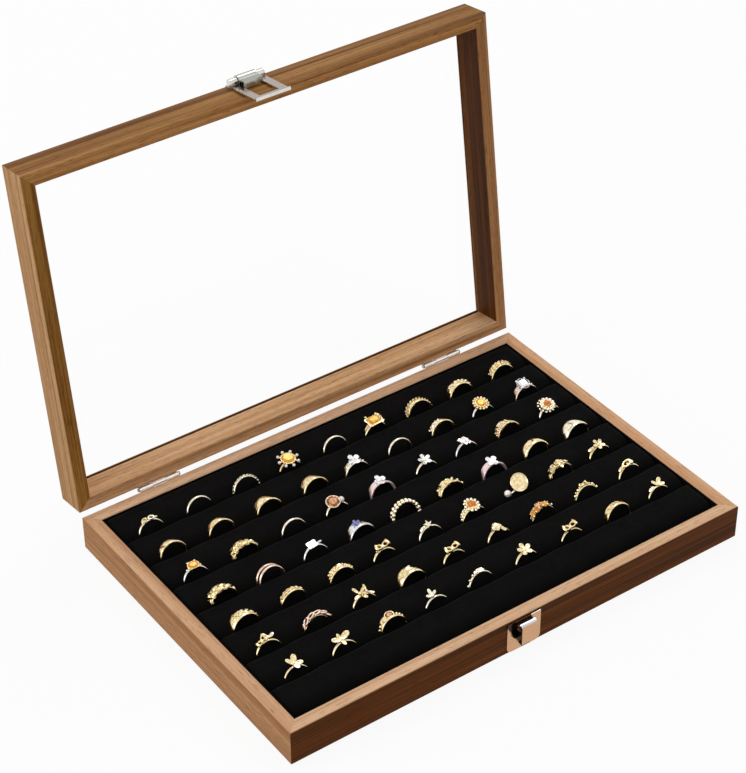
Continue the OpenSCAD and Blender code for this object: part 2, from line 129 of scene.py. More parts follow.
def placeCamera():
    az, el, roll = (math.radians(shot[k]) for k in ("azimuth", "elevation", "roll"))
    away = Vector((math.sin(az) * math.cos(el), -math.cos(az) * math.cos(el), math.sin(el)))
    right = Vector((math.cos(az), math.sin(az), 0))
    up = away.cross(right)
    tiltedRight = right * math.cos(roll) + up * math.sin(roll)
    tiltedUp = up * math.cos(roll) - right * math.sin(roll)
    turn = Matrix((tiltedRight, tiltedUp, away)).transposed().to_4x4()
    lens = bpy.data.cameras.new("camera")
    lens.lens = shot["lens"]
    lens.clip_end = 50
    made = bpy.data.objects.new("camera", lens)
    made.matrix_world = Matrix.Translation(Vector(shot["target"]) + away * shot["distance"]) @ turn
    bpy.context.scene.collection.objects.link(made)
    bpy.context.scene.camera = made


# each panel: place, what it faces, size in metres, power in watts
panels = {"keyPanel": ((0.9, 1.1, 2.3), (0, 0, 0.05), (1.2, 1.2), 19.8),
          "leftPanel": ((-2.2, 0.3, 1.0), (0, 0, 0.1), (1.2, 1.2), 13.2)}
# the floor's size is in metres, its drop below the box in mm
studio = {"sky": 0.62, "skyColour": "#F6F6F6", "backdrop": "#FFFFFF",
          "floorSize": 40, "floorDrop": 0.4, "floorShown": "#FFFFFF", "floorBounce": "#6E6C69",
          "floorGlow": 0.93, "glowColour": "#FEFEFE"}


def areaLight(name, place, target, size, power):
    lamp = bpy.data.lights.new(name, "AREA")
    lamp.shape = "RECTANGLE"
    lamp.size, lamp.size_y = size
    lamp.energy = power
    made = bpy.data.objects.new(name, lamp)
    turn = (Vector(target) - Vector(place)).to_track_quat("-Z", "Y")
    made.matrix_world = Matrix.Translation(place) @ turn.to_matrix().to_4x4()
    bpy.context.scene.collection.objects.link(made)


def backdropSeen(tree):
    # 1 where the backdrop is looked at, straight, through glass or in a reflection; 0 where it only lights
    path = addNode(tree, "LightPath")
    seen = path.outputs["Is Camera Ray"]
    for ray in ("Is Transmission Ray", "Is Glossy Ray"):
        seen = addNode(tree, "Math", {0: seen, 1: path.outputs[ray]}, operation="MAXIMUM").outputs[0]
    return seen


def lightStudio():
    sky = bpy.data.worlds.new("studioSky")
    sky.use_nodes = True
    bpy.context.scene.world = sky
    tree = sky.node_tree
    tree.nodes.clear()
    seen = backdropSeen(tree)
    lit = addNode(tree, "Background", {"Color": colour(studio["skyColour"]), "Strength": studio["sky"]})
    white = addNode(tree, "Background", {"Color": colour(studio["backdrop"]), "Strength": 1.0})
    both = addNode(tree, "MixShader", {0: seen, 1: lit.outputs[0], 2: white.outputs[0]})
    addNode(tree, "OutputWorld", {"Surface": both.outputs[0]})
    for name, settings in panels.items():
        areaLight(name, *settings)


def layFloor():
    # pale paper: white where it is looked at, with the box's shadow on it, and duller in the light it gives
    bpy.ops.mesh.primitive_plane_add(size=studio["floorSize"], location=(0, 0, -studio["floorDrop"] * mm))
    floor = bpy.context.object
    floor.name = "studioFloor"
    made, tree = blankMaterial("paleFloorPaper")
    seen = backdropSeen(tree)
    tone = addNode(tree, "Mix", {"Factor": seen, 6: colour(studio["floorBounce"]),
                                 7: colour(studio["floorShown"])}, data_type="RGBA")
    paper = addNode(tree, "BsdfDiffuse", {"Color": tone.outputs[2]})
    glow = addNode(tree, "Emission", {"Color": colour(studio["glowColour"]), "Strength": 1.0})
    share = addNode(tree, "Math", {0: seen, 1: studio["floorGlow"]}, operation="MULTIPLY")
    both = addNode(tree, "MixShader", {0: share.outputs[0], 1: paper.outputs[0], 2: glow.outputs[0]})
    addNode(tree, "OutputMaterial", {"Surface": both.outputs[0]})
    floor.data.materials.append(made)
    floor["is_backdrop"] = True


bpy.context.scene.view_settings.view_transform = "Standard"
placeCamera()
lightStudio()
layFloor()
print("camera, light and floor set")


# widths and lengths in mm, across and along the grain
walnut = {"streakWidth": 9, "streakLength": 420, "grainWidth": 1.3, "grainLength": 150, "poreWidth": 0.6,
          "poreLength": 7, "poreDark": 0.5, "roughness": 0.55, "shine": 0.1, "relief": 0.3, "edgeFade": 0.3}


def walnutBoard(rail, run, across, tones, shift, marksAndPaintedLight):
    # American walnut, planed and oiled: straight fine grain, dark streaks, short open pores, a low dull shine
    made, tree = blankMaterial("oiledWalnut_" + rail)
    turned = Matrix((run, across, run.cross(across))).to_euler()
    place = addNode(tree, "TexCoord").outputs["Object"]
    start = (shift, shift * 0.37, 0)
    board = addNode(tree, "Mapping", {"Vector": place, "Rotation": turned, "Location": start})

    def fibres(kind, **look):
        width = 1000 / walnut[kind + "Width"]
        size = (1000 / walnut[kind + "Length"], width, width)
        drawn = addNode(tree, "Mapping", {"Vector": board.outputs[0], "Scale": size})
        return addNode(tree, "TexNoise", {"Vector": drawn.outputs[0], "Scale": 1.0, **look}).outputs[0]

    streaks = fibres("streak", Detail=3.0, Distortion=0.4)
    grain = fibres("grain", Detail=4.0, Roughness=0.65)
    pores = fibres("pore", Detail=1.0)
    mixed = addNode(tree, "Mix", {0: 0.5, 2: streaks, 3: grain}, data_type="FLOAT").outputs[0]
    ramp = addNode(tree, "ValToRGB", {"Fac": mixed})
    setStops(ramp, (0.34, 0.50, 0.66), tones)
    mask = addNode(tree, "MapRange", {"Value": pores, "From Min": 0.58, "From Max": 0.70,
                                      "To Max": walnut["poreDark"]})
    dark = addNode(tree, "Mix", {"Factor": mask.outputs[0], 6: ramp.outputs[0], 7: colour(tones[3])},
                   data_type="RGBA")
    skin = dark.outputs[2]
    for direction, first, full, tint, blend, *stop in marksAndPaintedLight:
        # a stain, an edge lightened by wear and a painted highlight, or painted shade on one side of the
        # board, between two depths in mm below its face
        face = faceDepth(rail, direction)
        reach = addNode(tree, "VectorMath", {0: place, 1: direction}, operation="DOT_PRODUCT")
        depth = reach.outputs["Value"]
        share = addNode(tree, "MapRange", {"Value": depth, "From Min": (face - first) * mm,
                                           "From Max": (face - full) * mm}).outputs[0]
        for last in stop:
            past = addNode(tree, "MapRange", {"Value": depth, "To Min": 1.0, "To Max": 0.0,
                                              "From Min": (face - last - walnut["edgeFade"]) * mm,
                                              "From Max": (face - last) * mm})
            share = addNode(tree, "Math", {0: share, 1: past.outputs[0]}, operation="MULTIPLY").outputs[0]
        tinted = addNode(tree, "ValToRGB", {"Fac": mixed})
        setStops(tinted, (0.40, 0.60), tint)
        skin = addNode(tree, "Mix", {"Factor": share, 6: skin, 7: tinted.outputs[0]}, data_type="RGBA",
                       blend_type=blend).outputs[2]
    rough, relief = walnut["roughness"], walnut["relief"] * mm
    sheen = addNode(tree, "MapRange", {"Value": grain, "From Min": 0.3, "From Max": 0.7,
                                       "To Min": rough + 0.1, "To Max": rough - 0.08})
    lines = addNode(tree, "Bump", {"Height": grain, "Strength": 0.12, "Distance": relief})
    pits = addNode(tree, "Bump", {"Height": pores, "Strength": 0.10, "Distance": relief,
                                  "Normal": lines.outputs[0]}, invert=True)
    wood = addNode(tree, "BsdfPrincipled", {"Base Color": skin, "Roughness": sheen.outputs[0],
                                            "Normal": pits.outputs[0], "Specular IOR Level": walnut["shine"]})
    addNode(tree, "OutputMaterial", {"Surface": wood.outputs[0]})
    return made


# each board: along the grain, across it, three tones and the pores' own, a shift of its pattern, its stains,
# edge wear and painted light
# a darker thin band just below the lid's outer face (MULTIPLY)
# lighter strips by the edges (SCREEN): partly edge wear, partly a painted highlight where light catches the
# edge
edgeWearAndHighlight, darkEdgeLine = ("#3A2E22", "#3A2E22"), ("#6E5E50", "#8A7866")
boards = {
    "base_front_rail": (toRight, toRear, ("#C4956E", "#DCB18B", "#ECC7A3", "#916844"), 0.13, [
        (-toRear, 1.4, 0.9, edgeWearAndHighlight, "SCREEN"), (toRear, 1.0, 0.5, edgeWearAndHighlight, "SCREEN"),
        # the front face darkened: painted shade of a face turned away from the light
        (-toRear, 0.8, 0.1, ("#61481A", "#925F24"), "MULTIPLY")]),
    "base_rear_rail": (toRight, toRear, ("#C2936E", "#D9AF8B", "#E9C5A3", "#906744"), 0.71, [
        (toRear, 1.4, 0.9, edgeWearAndHighlight, "SCREEN")]),
    "base_left_rail": (toRear, toRight, ("#B8845D", "#D0A079", "#E2B690", "#855936"), 0.42, [
        (-toRight, 1.4, 0.9, edgeWearAndHighlight, "SCREEN"), (-toRight, 0.8, 0.1, ("#DCCAB3", "#F9E9D2"), "MULTIPLY")]),
    "base_right_rail": (toRear, toRight, ("#BE8A60", "#D5A47B", "#E5B890", "#8D603B"), 0.93, [
        (toRight, 1.4, 0.9, edgeWearAndHighlight, "SCREEN"), (-toRight, 1.0, 0.5, edgeWearAndHighlight, "SCREEN")]),
    "lid_front_rail": (toRight, lidRun, ("#88572D", "#CD8F54", "#EBB074", "#5D3516"), 0.31, [
        (lidRun, 0.9, 0.1, ("#A2987A", "#BEBEA8"), "MULTIPLY"),
        # a lighter strip by the edge of the outer face: partly wear, partly a painted highlight
        (lidRun, 1.4, 0.9, ("#5A4632", "#5A4632"), "SCREEN", 0.1),
        (lidOut, 0.9, 0.4, darkEdgeLine, "MULTIPLY", 0.05)]),
    "lid_rear_rail": (toRight, lidRun, ("#9F6F42", "#D09F71", "#EBBF95", "#6C4726"), 0.58, [
        (lidOut, 3.8, 3.4, darkEdgeLine, "MULTIPLY", 0.6)]),
    "lid_left_rail": (lidRun, toRight, ("#A77547", "#D8A672", "#F4C895", "#6E4B2A"), 0.36, [
        # the rim face, turned to the front, darkened: painted shade
        (-lidOut, 0.9, 0.1, ("#AA925F", "#D4BF88"), "MULTIPLY"),
        (lidOut, 0.9, 0.4, darkEdgeLine, "MULTIPLY", 0.05)]),
    "lid_right_rail": (lidRun, toRight, ("#966334", "#CC925F", "#E3AF7F", "#633E20"), 0.84, [
        # the inner wall facing left, in the lid's recess, darkened: painted shade
        (-toRight, 0.6, 0.1, ("#69522A", "#886C3A"), "MULTIPLY")]),
}
for rail, settings in boards.items():
    dress(rail, walnutBoard(rail, *settings))
print("walnut boards dressed")


plating = {"cloud": 4.54545, "scratch": 1.11111, "scratchDepth": 0.2, "edgeFade": 0.5,   # mm
           "cloudRough": 0.12}


def plate(name, tones, rough, scratch, paintedLightTints=()):
    # nickel over brass, dipped bright and tumbled: mirror-like with faint cloudy wear; the tints it is given
    # are
    # painted light: a warm reflection, shade and a shadow painted on by the way a face turns or where it lies
    made, tree = blankMaterial(name)
    place = addNode(tree, "TexCoord").outputs
    wear = addNode(tree, "TexNoise", {"Vector": place["Object"], "Scale": 1000 / plating["cloud"],
                                      "Detail": 4.0})
    spread = addNode(tree, "MapRange", {"Value": wear.outputs[0], "From Min": 0.35, "From Max": 0.7,
                                        "To Min": rough, "To Max": rough + plating["cloudRough"]})
    fine = addNode(tree, "TexNoise", {"Vector": place["Object"], "Scale": 1000 / plating["scratch"],
                                      "Detail": 2.0})
    tone = addNode(tree, "ValToRGB", {"Fac": wear.outputs[0]})
    setStops(tone, (0.3, 0.7), tones)
    skin = tone.outputs[0]
    for source, direction, start, end, tint, *stop in paintedLightTints:
        # a painted tint of light or shade on what faces a direction, or on what lies past a place, up to a
        # stop on the right
        turn = addNode(tree, "VectorMath", {0: place[source], 1: direction}, operation="DOT_PRODUCT")
        share = addNode(tree, "MapRange", {"Value": turn.outputs["Value"], "From Min": start,
                                           "From Max": end}).outputs[0]
        for last in stop:
            side = addNode(tree, "VectorMath", {0: place["Object"], 1: toRight}, operation="DOT_PRODUCT")
            past = addNode(tree, "MapRange", {"Value": side.outputs["Value"], "To Min": 1.0, "To Max": 0.0,
                                              "From Min": last - plating["edgeFade"] * mm, "From Max": last})
            share = addNode(tree, "Math", {0: share, 1: past.outputs[0]}, operation="MULTIPLY").outputs[0]
        skin = addNode(tree, "Mix", {"Factor": share, 6: skin, 7: colour(tint)}, data_type="RGBA").outputs[2]
    bump = addNode(tree, "Bump", {"Height": fine.outputs[0], "Strength": scratch,
                                  "Distance": plating["scratchDepth"] * mm})
    metal = addNode(tree, "BsdfPrincipled", {"Base Color": skin, "Metallic": 1.0, "Normal": bump.outputs[0],
                                             "Roughness": spread.outputs[0]})
    addNode(tree, "OutputMaterial", {"Surface": metal.outputs[0]})
    return made


glass = {"ior": 1.1, "smear": 0.003, "ripple": 111.111, "shadow": "#FBFCFC"}   # a low IOR: it hardly mirrors


def floatGlass():
    # clear float glass, polished: no colour of its own, a faint shine at low angles
    made, tree = blankMaterial("clearFloatGlass")
    place = addNode(tree, "TexCoord").outputs["Object"]
    ripple = addNode(tree, "TexNoise", {"Vector": place, "Scale": 1000 / glass["ripple"], "Detail": 1.0})
    smear = addNode(tree, "MapRange", {"Value": ripple.outputs[0], "To Max": glass["smear"]})
    pane = addNode(tree, "BsdfPrincipled", {"Base Color": colour("#FFFFFF"), "Roughness": smear.outputs[0],
                                            "IOR": glass["ior"], "Transmission Weight": 1.0})
    clear = addNode(tree, "BsdfTransparent", {"Color": colour(glass["shadow"])})
    path = addNode(tree, "LightPath").outputs
    either = addNode(tree, "Math", {0: path["Is Shadow Ray"], 1: path["Is Diffuse Ray"]},
                     operation="MAXIMUM")
    both = addNode(tree, "MixShader", {0: either.outputs[0], 1: pane.outputs[0], 2: clear.outputs[0]})
    addNode(tree, "OutputMaterial", {"Surface": both.outputs[0]})
    return made


# where each painted tint of light or shade starts and is full: a share of the way a face can turn, or a place
# in mm
# a painted darker reflection on faces turned up the open lid
paintedDullReflection = ("Normal", lidRun, 0.55, 0.9)
# a painted warm reflection on faces turned to the front
paintedWarmReflection = ("Normal", -toRear, 0.55, 0.9, "#C99D78")
# painted shade on faces turned to the left
shaded = ("Normal", -toRight, 0.55, 0.9, "#3A2318")
# a painted shadow on the catch plate beside and behind the tongue
paintedShadowByTongue = ("Object", Vector((0.86, 0, 0.5)), -3.1 * mm, -1.9 * mm, "#3A2318", 3.1 * mm)
catchTones = ("#B9C2C6", "#D5DCDF")
fittings = [
    (plate("brightNickelPlate", ("#E4DDD6", "#F6F1EB"), 0.12, 0.05),
        ["hinge_base_screws", "hinge_lid_screws", "left_hinge_base_leaf", "left_hinge_lid_leaf",
         "right_hinge_base_leaf", "right_hinge_lid_leaf"]),
    (plate("satinNickelPlatePaintedReflection", ("#AEAFA8", "#C8CAC4"), 0.16, 0.06, [(*paintedDullReflection, "#9C9E97")]),
        ["hasp_plate", "hasp_screws"]),
    (plate("nickelLoopPaintedReflection", ("#CDC9C5", "#E6E4E0"), 0.14, 0.06, [(*paintedDullReflection, "#A89E96")]), ["hasp_loop"]),
    (plate("nickelCatchPaintedReflectionShadow", catchTones, 0.12, 0.05, [paintedWarmReflection, paintedShadowByTongue]),
        ["catch_plate", "catch_screws"]),
    (plate("nickelTonguePaintedReflectionShade", catchTones, 0.12, 0.05, [paintedWarmReflection, shaded]), ["catch_tongue"]),
    (plate("plainSteelWire", ("#8C8E90", "#A9ABAC"), 0.28, 0.1),
        ["catch_pin", "left_hinge_pin", "right_hinge_pin", "base_corner_brads", "panel_brads",
         "lid_corner_brads"]),
    (floatGlass(), ["lid_glass"]),
]
for made, names in fittings:
    for name in names:
        dress(name, made)
print("metal and glass dressed")


velvetLook = {"pile": 0.9, "crush": 14, "tones": ("#030202", "#090807"), "relief": 0.6,   # mm
              "sheen": 0.055, "sheenTint": "#8F9096"}


def blackVelvet(name):
    # cotton velvet with a short upright pile: nearly black, lit at its edges, with soft crushed patches; the
    # pile is drawn coarser than its threads, so that it shows
    made, tree = blankMaterial(name)
    place = addNode(tree, "TexCoord").outputs["Object"]
    pile = addNode(tree, "TexNoise", {"Vector": place, "Scale": 1000 / velvetLook["pile"], "Detail": 2.0})
    crush = addNode(tree, "TexNoise", {"Vector": place, "Scale": 1000 / velvetLook["crush"], "Detail": 5.0,
                                       "Roughness": 0.6})
    mixed = addNode(tree, "Mix", {0: 0.4, 2: crush.outputs[0], 3: pile.outputs[0]}, data_type="FLOAT")
    ramp = addNode(tree, "ValToRGB", {"Fac": mixed.outputs[0]})
    setStops(ramp, (0.35, 0.65), velvetLook["tones"])
    bump = addNode(tree, "Bump", {"Height": mixed.outputs[0], "Strength": 0.35,
                                  "Distance": velvetLook["relief"] * mm})
    cloth = addNode(tree, "BsdfPrincipled", {
        "Base Color": ramp.outputs[0], "Roughness": 0.95, "Specular IOR Level": 0.08,
        "Normal": bump.outputs[0], "Sheen Weight": velvetLook["sheen"], "Sheen Roughness": 0.35,
        "Sheen Tint": colour(velvetLook["sheenTint"])})
    addNode(tree, "OutputMaterial", {"Surface": cloth.outputs[0]})
    return made


velvet = blackVelvet("shortPileBlackVelvet")
for name in ("wall_lining", "insert_board", "base_panel"):
    dress(name, velvet)
print("velvet on the walls and the board")


# sizes in mm; slope and edge are the depth and height of the rounds at the front and rear of the crest
rolls = {"count": 8, "steps": 300, "slope": (12.0, 10.0), "edge": (3.0, 2.5), "endRound": 5.0, "endDrop": 2.0,
         "endCurve": 2.6, "dentDepth": 0.6, "dentWidth": 11.0, "ripple": 0.30, "fineRipple": 0.10}
ringGrid = {"columns": 9, "pitch": 35.7375, "depth": 12.0}


def columnPlace(column):
    return (column - (ringGrid["columns"] + 1) / 2) * ringGrid["pitch"]


def rollSection(half, foot, crest):
    # one turn round a roll: soft rear edge, flat top, long front slope, front, underside, rear
    deep, high = rolls["slope"]
    back, low = rolls["edge"]
    turns = [math.pi / 2 * k / 12 for k in range(13)]
    made = [(half - back * (1 - math.cos(a)), crest - low * (1 - math.sin(a))) for a in turns]
    made += [(half - back - (2 * half - back - deep) * k / 6, crest) for k in range(1, 6)]
    made += [(-half + deep * (1 - math.sin(a)), crest - high * (1 - math.cos(a))) for a in turns]
    made += [(-half, crest - high - (crest - high - foot) * k / 5) for k in range(1, 6)]
    made += [(-half + 2 * half * k / 6, foot) for k in range(1, 7)]
    return made + [(half, foot + (crest - low - foot) * k / 8) for k in range(1, 8)]


def rollPoints(number):
    # the section at each step from end to end, rounded at the ends and pressed in where a ring stands
    lowest, highest = boxOf("ring_roll_%d" % number)
    half, middle = (highest.x - lowest.x) / 2, (highest.y + lowest.y) / 2
    halfWidth, foot, crest = (highest.y - lowest.y) / 2, lowest.z, highest.z
    ringColumns = [columnPlace(k) for k in range(1, ringGrid["columns"] + 1)]
    section = rollSection(halfWidth, foot, crest)
    points = []
    for i in range(rolls["steps"] + 1):
        x = -half + 2 * half * i / rolls["steps"]
        t = max(0.0, 1 - (half - abs(x)) / rolls["endRound"])
        drop = 1 - (1 - t ** rolls["endCurve"]) ** (1 / rolls["endCurve"])
        near = min(abs(x - ring) for ring in ringColumns)
        press = math.exp(-(near / rolls["dentWidth"]) ** 4) * rolls["dentDepth"]
        for y, z in section:
            lift = (z - foot) / (crest - foot)
            side = abs(y) / halfWidth
            besideRings = number > 1 if y > 0 else number < rolls["count"]
            if lift > 0.3 and y and besideRings:
                z -= 0.5 * press * side ** 8 * lift
                y -= math.copysign(press * side ** 4, y)
            spot = Vector((x * 0.02, y * 0.05 + number * 7.3, z * 0.05))
            ripple = rolls["ripple"] * (noise.noise(spot) - 0.4)
            ripple += rolls["fineRipple"] * (noise.noise(spot * 5) - 0.4)
            z += lift * (ripple - rolls["endDrop"] * drop)
            y *= 1 - 0.05 * drop
            points.append((x * mm, (middle + y) * mm, min(z, crest) * mm))
    return points, len(section)


def foamRoll(number):
    # foam strip covered in velvet, pulled over its ends
    points, turns = rollPoints(number)
    faces = []
    for i in range(rolls["steps"]):
        for k in range(turns):
            a, b = i * turns + k, i * turns + (k + 1) % turns
            faces.append((a, b, b + turns, a + turns))
    mesh = bpy.data.meshes.new("velvetRoll_%d" % number)
    mesh.from_pydata(points, [], faces)
    made = bpy.data.objects.new("velvetRoll_%d" % number, mesh)
    bpy.context.scene.collection.objects.link(made)
    bpy.ops.object.select_all(action="DESELECT")
    made.select_set(True)
    bpy.context.view_layer.objects.active = made
    bpy.ops.object.mode_set(mode="EDIT")
    bpy.ops.mesh.select_all(action="DESELECT")
    bpy.ops.mesh.select_non_manifold(extend=False)
    bpy.ops.mesh.edge_face_add()
    bpy.ops.mesh.select_all(action="SELECT")
    bpy.ops.mesh.normals_make_consistent(inside=False)
    bpy.ops.object.mode_set(mode="OBJECT")
    bpy.ops.object.shade_smooth()
    mesh.materials.append(velvet)
    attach(made, "root")
    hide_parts("ring_roll_%d" % number)


for number in range(1, rolls["count"] + 1):
    foamRoll(number)
print("velvet rolls made")


def mottled(name, tones, patch, **shader):
    # cast metal or cut stone: two close tones in soft patches, in mm, keep it from looking painted
    made, tree = blankMaterial(name)
    place = addNode(tree, "TexCoord").outputs["Object"]
    patches = addNode(tree, "TexNoise", {"Vector": place, "Scale": 1000 / patch, "Detail": 2.0})
    ramp = addNode(tree, "ValToRGB", {"Fac": patches.outputs[0]})
    setStops(ramp, (0.35, 0.65), tones)
    skin = addNode(tree, "BsdfPrincipled", {"Base Color": ramp.outputs[0], **shader})
    addNode(tree, "OutputMaterial", {"Surface": skin.outputs[0]})
    return made


# precious metals, cast and polished: bright mirror-like edges, the colour carried by the reflections
# cut stones, foil-backed: a saturated body that throws light back; pearl: a soft milky shine from its nacre
finishes = {
    "gold": mottled("polishedYellowGold", ("#DFC58A", "#FBECC4"), 2.0, Metallic=1.0, Roughness=0.11),
    "pale": mottled("polishedPaleGold", ("#E6D8B8", "#FCF5E4"), 2.0, Metallic=1.0, Roughness=0.12),
    "rose": mottled("polishedRoseGold", ("#DDB9A2", "#F5DECD"), 2.5, Metallic=1.0, Roughness=0.20),
    "silver": mottled("polishedSterlingSilver", ("#D4D2CE", "#F2F1EE"), 2.5, Metallic=1.0, Roughness=0.15),
    "amber": mottled("cutAmberStone", ("#E08400", "#FFC244"), 1.5, Metallic=0.25, Roughness=0.10, IOR=1.54),
    "brown": mottled("cutSmokyStone", ("#6E3C10", "#B4762C"), 1.5, Metallic=0.25, Roughness=0.10, IOR=1.55),
    "orange": mottled("cutFireOpalStone", ("#B85A14", "#F09A38"), 1.5, Metallic=0.25, Roughness=0.10,
                      IOR=1.45),
    "white": mottled("cutWhiteTopaz", ("#EDEFF4", "#FFFFFF"), 1.5, Metallic=0.6, Roughness=0.12, IOR=1.62),
    "violet": mottled("cutVioletStone", ("#6A6FB4", "#9CA0DA"), 1.5, Roughness=0.08, IOR=1.54),
    "pearl": mottled("culturedPearl", ("#F8EAE0", "#FFFAF4"), 3.0, Metallic=0.3, Roughness=0.26, IOR=1.53),
    "pink": mottled("pinkVitreousEnamel", ("#F6D2CE", "#FFEEEC"), 3.0, Metallic=0.6, Roughness=0.18, IOR=1.5),
}
print("ring metals and stones mixed")


def beginShape(primitive, **where):
    bpy.ops.object.select_all(action="DESELECT")
    primitive(**where)
    bpy.ops.object.mode_set(mode="EDIT")


def pickFaces(test):
    bpy.ops.mesh.select_mode(type="FACE")
    bpy.ops.mesh.select_all(action="DESELECT")
    shape = bmesh.from_edit_mesh(bpy.context.object.data)
    for face in shape.faces:
        face.select_set(bool(test(face.calc_center_median(), face.normal)))
    bmesh.update_edit_mesh(bpy.context.object.data)


def pickPoints(test):
    bpy.ops.mesh.select_mode(type="VERT")
    bpy.ops.mesh.select_all(action="DESELECT")
    shape = bmesh.from_edit_mesh(bpy.context.object.data)
    for point in shape.verts:
        point.select_set(bool(test(point.co)))
    shape.select_flush_mode()
    bmesh.update_edit_mesh(bpy.context.object.data)


def facingUp(at, normal):
    return normal.z > 0.9


def facingDown(at, normal):
    return normal.z < -0.9


def resizePicked(size, centre=(0, 0, 0)):
    bpy.ops.transform.resize(value=size, center_override=centre)


def pullFaces(move, size=(1, 1, 1)):
    bpy.ops.mesh.extrude_region_move(TRANSFORM_OT_translate={"value": move})
    resizePicked(size)


def endShape(name, *changes, smooth=None):
    bpy.ops.object.mode_set(mode="OBJECT")
    bpy.ops.object.transform_apply(location=True, rotation=True, scale=True)
    made = bpy.context.object
    made.name = name
    for kind, settings in changes:
        change = made.modifiers.new(kind.lower(), kind)
        for key, value in settings.items():
            setattr(change, key, value)
        bpy.ops.object.modifier_apply(modifier=change.name)
    if smooth:
        bpy.ops.object.shade_smooth_by_angle(angle=math.radians(smooth))
    return made


# the jeweller's bench: every shape that the rings share is made once here, about 1 mm in radius, and copied
def makeBead():
    beginShape(bpy.ops.mesh.primitive_ico_sphere_add, subdivisions=2, radius=1)
    pickFaces(lambda at, normal: at.z < -0.8)
    pullFaces((0, 0, -0.3), (0.8, 0.8, 1))
    return endShape("bead", smooth=60)


def makePetal():
    beginShape(bpy.ops.mesh.primitive_cube_add, size=1, location=(0.5, 0, 0))
    resizePicked((1.1, 1.05, 0.42), (0.5, 0, 0))
    pickFaces(lambda at, normal: normal.x > 0.9)
    resizePicked((1, 0.6, 0.7), (1, 0, 0))
    pickFaces(lambda at, normal: normal.x < -0.9)
    resizePicked((1, 0.5, 0.9))
    pickFaces(facingUp)
    bpy.ops.mesh.inset(thickness=0.16)
    bpy.ops.transform.translate(value=(0.03, 0, -0.12))
    return endShape("petal", ("SUBSURF", {"levels": 2, "render_levels": 2}), smooth=60)


def makeGem(sides, cut=0):
    turned = (0, 0, math.pi / sides)
    beginShape(bpy.ops.mesh.primitive_cylinder_add, vertices=sides, radius=1, depth=0.14, rotation=turned)
    if cut:
        # the upright edges are cut off
        bpy.ops.mesh.select_mode(type="EDGE")
        bpy.ops.mesh.select_all(action="DESELECT")
        shape = bmesh.from_edit_mesh(bpy.context.object.data)
        for edge in shape.edges:
            edge.select_set(abs(edge.verts[0].co.z - edge.verts[1].co.z) > 0.1)
        bmesh.update_edit_mesh(bpy.context.object.data)
        bpy.ops.mesh.bevel(offset=cut, segments=1)
    pickFaces(facingUp)
    pullFaces((0, 0, 0.16), (0.8, 0.8, 1))
    pullFaces((0, 0, 0.13), (0.76, 0.76, 1))
    pickFaces(facingDown)
    pullFaces((0, 0, -0.34), (0.62, 0.62, 1))
    pullFaces((0, 0, -0.26), (0.08, 0.08, 1))
    return endShape("gem")


def makeBezel():
    beginShape(bpy.ops.mesh.primitive_cylinder_add, vertices=24, radius=1.12, depth=0.6,
               end_fill_type="NOTHING", location=(0, 0, -0.12))
    pickPoints(lambda at: at.z < 0)
    resizePicked((0.78, 0.78, 1))
    wall = ("SOLIDIFY", {"thickness": 0.16, "offset": 0})
    return endShape("bezel", wall, ("BEVEL", {"width": 0.04, "segments": 2}), smooth=50)


def makeBasket():
    beginShape(bpy.ops.mesh.primitive_cone_add, vertices=8, radius1=0.4, radius2=1.02, depth=1.0,
               end_fill_type="NOTHING", location=(0, 0, -0.4))
    bpy.ops.mesh.subdivide(number_cuts=1)
    return endShape("basket", ("WIREFRAME", {"thickness": 0.17}), smooth=50)


def makeDisc():
    def rays(at):
        ray = round(math.atan2(at.y, at.x) / math.radians(11.25))
        return 0.2 < at.xy.length < 0.8 and at.z > 0 and ray % 2 == 0

    beginShape(bpy.ops.mesh.primitive_cylinder_add, vertices=32, radius=1, depth=0.14)
    pickFaces(facingUp)
    bpy.ops.mesh.inset(thickness=0.09)
    pullFaces((0, 0, -0.04))
    for ring in (0.16, 0.34, 0.26):
        bpy.ops.mesh.inset(thickness=ring)
    pickPoints(rays)
    bpy.ops.transform.translate(value=(0, 0, 0.03))
    return endShape("disc", ("BEVEL", {"width": 0.015, "segments": 1}), smooth=35)


def makeLoop(stretch, foot, wire):
    beginShape(bpy.ops.mesh.primitive_torus_add, major_radius=0.42, minor_radius=wire, major_segments=24,
               minor_segments=8, location=(0.5, 0, 0))
    resizePicked((1, stretch, 1), (0.5, 0, 0))
    pickPoints(lambda at: at.x < 0.35)
    resizePicked((1, foot, 1))
    return endShape("loop", smooth=60)


def makeCushion():
    beginShape(bpy.ops.mesh.primitive_cube_add, size=2)
    resizePicked((1, 0.85, 0.4))
    pickFaces(facingDown)
    resizePicked((0.7, 0.7, 1))
    pickFaces(facingUp)
    bpy.ops.mesh.inset(thickness=0.16)
    bpy.ops.transform.translate(value=(0, 0, -0.07))
    return endShape("cushion", ("BEVEL", {"width": 0.14, "segments": 3}), smooth=50)


def makeNugget():
    beginShape(bpy.ops.mesh.primitive_ico_sphere_add, subdivisions=1, radius=1)
    pickFaces(lambda at, normal: math.sin(7 * at.x + 3 * at.y) + at.z > 0.3)
    bpy.ops.mesh.inset(thickness=0.12, depth=0.2, use_individual=True)
    return endShape("nugget", ("SUBSURF", {"levels": 1, "render_levels": 1}), smooth=60)


def makeStar(points):
    beginShape(bpy.ops.mesh.primitive_cylinder_add, vertices=points * 2, radius=1, depth=0.2)
    pickPoints(lambda at: round(math.atan2(at.x, at.y) / math.radians(180 / points)) % 2)
    resizePicked((0.48, 0.48, 1))
    pickFaces(facingUp)
    bpy.ops.mesh.poke(offset=0.3)
    return endShape("star", ("BEVEL", {"width": 0.03, "segments": 1}))


def makeSeat():
    beginShape(bpy.ops.mesh.primitive_cone_add, vertices=12, radius1=1, radius2=0.75, depth=1,
               location=(0, 0, -0.5))
    pickFaces(facingUp)
    bpy.ops.mesh.inset(thickness=0.2)
    pullFaces((0, 0, 0.12), (0.8, 0.8, 1))
    return endShape("seat", smooth=40)


